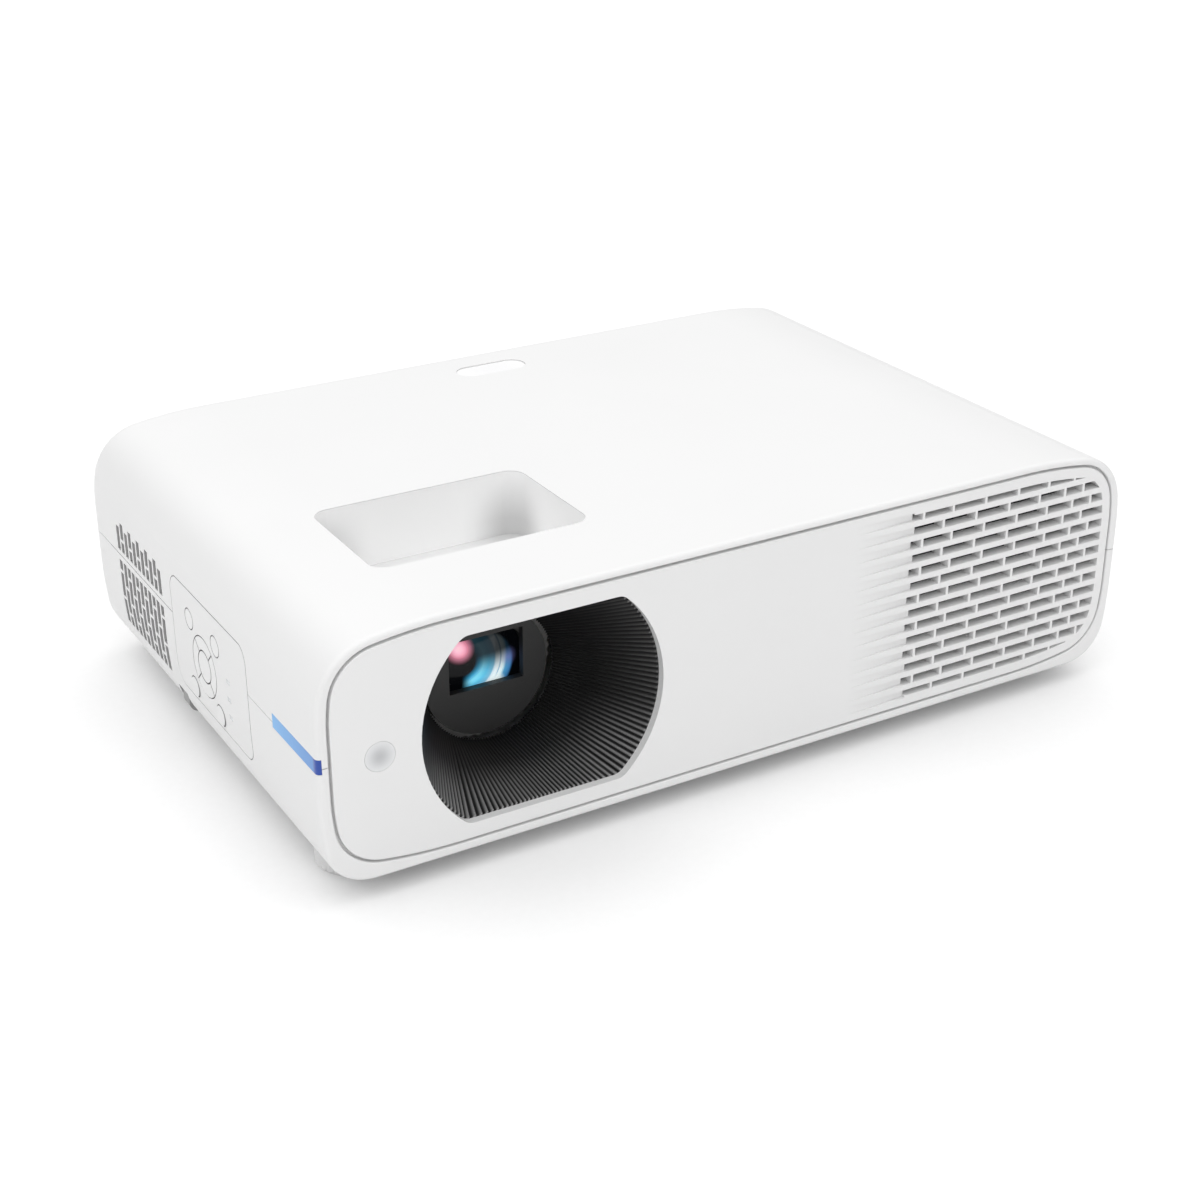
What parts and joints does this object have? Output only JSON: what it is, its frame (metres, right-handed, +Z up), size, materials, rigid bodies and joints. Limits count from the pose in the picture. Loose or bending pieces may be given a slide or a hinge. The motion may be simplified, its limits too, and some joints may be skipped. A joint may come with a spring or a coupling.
{
  "type": "home projector",
  "caption": "White home projector with a ribbed lens funnel, lens well with zoom and focus rings, side keypad, louvre grilles and screw feet.",
  "frame": {"origin": "on the table under the middle of the body, at the bottom of the feet", "axes": "+X to the right seen from the front, the lens looks along -Y, +Z up"},
  "size_m": [0.357, 0.237, 0.104],
  "materials": {
    "white_shell": "fine matte moulded",
    "rear_plastic": "fine matte moulded",
    "foot_plastic": "matte moulded, fluted",
    "funnel_black": "matte moulded, ribbed",
    "lens_black": "satin moulded",
    "ring_grip": "matte moulded, fluted",
    "ir_window": "smoked translucent",
    "accent_blue": "satin moulded",
    "indicator": "translucent",
    "lens_glass": "coated, polished",
    "cast_alloy": "as cast",
    "heatsink_alloy": "extruded",
    "copper": "drawn",
    "circuit_board": "solder mask",
    "fan_black": "moulded",
    "socket_steel": "plated",
    "socket_black": "moulded",
    "coil_block": "coated",
    "brass_insert": "turned",
    "steel": "zinc plated"
  },
  "bodies": {
    "housing": {"upper_cover": "white_shell", "lower_case": "white_shell", "front_bezel": "white_shell", "exhaust_grille": "white_shell", "keypad_panel": "white_shell", "rear_panel": "rear_plastic", "lens_funnel": "funnel_black", "lens_barrel": "lens_black", "front_ir_window": "ir_window", "top_ir_window": "ir_window", "accent_strip": "accent_blue", "indicator_lights": "indicator", "light_prism": "lens_glass", "engine_housing": "cast_alloy", "dmd_heatsink": "heatsink_alloy", "led_heatsink": "heatsink_alloy", "heat_pipes": "copper", "led_modules": "copper", "keypad_board": "circuit_board", "dmd_board": "circuit_board", "main_board": "circuit_board", "power_board": "circuit_board", "exhaust_fan_frame": "fan_black", "intake_fan_frame": "fan_black", "hdmi_sockets": "socket_steel", "usb_socket": "socket_steel", "audio_jacks": "socket_black", "ac_inlet": "socket_black", "power_transformer": "coil_block", "power_capacitors": "coil_block", "speaker": "coil_block", "mount_inserts": "brass_insert", "foot_inserts": "brass_insert", "case_screws": "steel", "security_bar": "steel"},
    "focus_ring_body": {"focus_ring": "ring_grip"},
    "zoom_ring_body": {"zoom_ring": "ring_grip"},
    "front_cell_body": {"front_lens_cell": "lens_black", "front_lens_glass": "lens_glass"},
    "zoom_cell_body": {"zoom_lens_cell": "lens_black", "zoom_lens_glass": "lens_glass"},
    "exhaust_rotor_body": {"exhaust_fan_rotor": "fan_black"},
    "intake_rotor_body": {"intake_fan_rotor": "fan_black"},
    "power_button_body": {"power_button": "white_shell"},
    "source_button_body": {"source_button": "white_shell"},
    "back_button_body": {"back_button": "white_shell"},
    "menu_button_body": {"menu_button": "white_shell"},
    "ok_button_body": {"ok_button": "white_shell"},
    "arrow_up_body": {"arrow_up": "white_shell"},
    "arrow_down_body": {"arrow_down": "white_shell"},
    "arrow_front_body": {"arrow_front": "white_shell"},
    "arrow_rear_body": {"arrow_rear": "white_shell"},
    "foot_front_left_stud_body": {"foot_stud_front_left": "steel"},
    "foot_front_left_knob_body": {"foot_knob_front_left": "foot_plastic"},
    "foot_front_right_stud_body": {"foot_stud_front_right": "steel"},
    "foot_front_right_knob_body": {"foot_knob_front_right": "foot_plastic"},
    "foot_rear_left_stud_body": {"foot_stud_rear_left": "steel"},
    "foot_rear_left_knob_body": {"foot_knob_rear_left": "foot_plastic"},
    "foot_rear_right_stud_body": {"foot_stud_rear_right": "steel"},
    "foot_rear_right_knob_body": {"foot_knob_rear_right": "foot_plastic"}
  },
  "joints": [
    {"name": "focus_turn", "type": "hinge", "parent": "housing", "child": "focus_ring_body", "pos_m": [-0.091, -0.0585, 0.051], "axis": [0, 1, 0], "range_deg": [-60, 60]},
    {"name": "front_cell_slide", "type": "slide", "parent": "housing", "child": "front_cell_body", "axis": [0, 1, 0], "range_m": [-0.0015, 0.0015]},
    {"name": "zoom_turn", "type": "hinge", "parent": "housing", "child": "zoom_ring_body", "pos_m": [-0.091, -0.0445, 0.051], "axis": [0, 1, 0], "range_deg": [-30, 30]},
    {"name": "zoom_cell_slide", "type": "slide", "parent": "housing", "child": "zoom_cell_body", "axis": [0, 1, 0], "range_m": [-0.005, 0.005]},
    {"name": "exhaust_fan_spin", "type": "hinge", "parent": "housing", "child": "exhaust_rotor_body", "pos_m": [0.11, -0.0945, 0.05677], "axis": [0, 1, 0], "continuous": true},
    {"name": "intake_fan_spin", "type": "hinge", "parent": "housing", "child": "intake_rotor_body", "pos_m": [-0.1605, 0.0595, 0.051], "axis": [1, 0, 0], "continuous": true},
    {"name": "power_button_press", "type": "slide", "parent": "housing", "child": "power_button_body", "axis": [1, 0, 0], "range_m": [0, 0.0006], "stiffness_N_per_m": 800, "springref_m": -0.0005},
    {"name": "source_button_press", "type": "slide", "parent": "housing", "child": "source_button_body", "axis": [1, 0, 0], "range_m": [0, 0.0006], "stiffness_N_per_m": 800, "springref_m": -0.0005},
    {"name": "back_button_press", "type": "slide", "parent": "housing", "child": "back_button_body", "axis": [1, 0, 0], "range_m": [0, 0.0006], "stiffness_N_per_m": 800, "springref_m": -0.0005},
    {"name": "menu_button_press", "type": "slide", "parent": "housing", "child": "menu_button_body", "axis": [1, 0, 0], "range_m": [0, 0.0006], "stiffness_N_per_m": 800, "springref_m": -0.0005},
    {"name": "ok_button_press", "type": "slide", "parent": "housing", "child": "ok_button_body", "axis": [1, 0, 0], "range_m": [0, 0.0006], "stiffness_N_per_m": 800, "springref_m": -0.0005},
    {"name": "arrow_up_press", "type": "slide", "parent": "housing", "child": "arrow_up_body", "axis": [1, 0, 0], "range_m": [0, 0.0006], "stiffness_N_per_m": 800, "springref_m": -0.0005},
    {"name": "arrow_down_press", "type": "slide", "parent": "housing", "child": "arrow_down_body", "axis": [1, 0, 0], "range_m": [0, 0.0006], "stiffness_N_per_m": 800, "springref_m": -0.0005},
    {"name": "arrow_front_press", "type": "slide", "parent": "housing", "child": "arrow_front_body", "axis": [1, 0, 0], "range_m": [0, 0.0006], "stiffness_N_per_m": 800, "springref_m": -0.0005},
    {"name": "arrow_rear_press", "type": "slide", "parent": "housing", "child": "arrow_rear_body", "axis": [1, 0, 0], "range_m": [0, 0.0006], "stiffness_N_per_m": 800, "springref_m": -0.0005},
    {"name": "foot_front_left_lift", "type": "slide", "parent": "housing", "child": "foot_front_left_stud_body", "axis": [0, 0, -1], "range_m": [0, 0.012]},
    {"name": "foot_front_left_turn", "type": "hinge", "parent": "foot_front_left_stud_body", "child": "foot_front_left_knob_body", "pos_m": [-0.158, -0.0905, 0.004], "axis": [0, 0, 1], "range_deg": [0, 1440]},
    {"name": "foot_front_right_lift", "type": "slide", "parent": "housing", "child": "foot_front_right_stud_body", "axis": [0, 0, -1], "range_m": [0, 0.012]},
    {"name": "foot_front_right_turn", "type": "hinge", "parent": "foot_front_right_stud_body", "child": "foot_front_right_knob_body", "pos_m": [0.158, -0.0905, 0.004], "axis": [0, 0, 1], "range_deg": [0, 1440]},
    {"name": "foot_rear_left_lift", "type": "slide", "parent": "housing", "child": "foot_rear_left_stud_body", "axis": [0, 0, -1], "range_m": [0, 0.012]},
    {"name": "foot_rear_left_turn", "type": "hinge", "parent": "foot_rear_left_stud_body", "child": "foot_rear_left_knob_body", "pos_m": [-0.147, 0.0995, 0.004], "axis": [0, 0, 1], "range_deg": [0, 1440]},
    {"name": "foot_rear_right_lift", "type": "slide", "parent": "housing", "child": "foot_rear_right_stud_body", "axis": [0, 0, -1], "range_m": [0, 0.012]},
    {"name": "foot_rear_right_turn", "type": "hinge", "parent": "foot_rear_right_stud_body", "child": "foot_rear_right_knob_body", "pos_m": [0.147, 0.0995, 0.004], "axis": [0, 0, 1], "range_deg": [0, 1440]}
  ],
  "couplings": [
    {"joint": "front_cell_slide", "follows": "focus_turn", "m_per_rad": 0.0014324},
    {"joint": "zoom_cell_slide", "follows": "zoom_turn", "m_per_rad": 0.0095493},
    {"joint": "foot_front_left_turn", "follows": "foot_front_left_lift", "rad_per_m": 2094.4},
    {"joint": "foot_front_right_turn", "follows": "foot_front_right_lift", "rad_per_m": 2094.4},
    {"joint": "foot_rear_left_turn", "follows": "foot_rear_left_lift", "rad_per_m": 2094.4},
    {"joint": "foot_rear_right_turn", "follows": "foot_rear_right_lift", "rad_per_m": 2094.4}
  ]
}
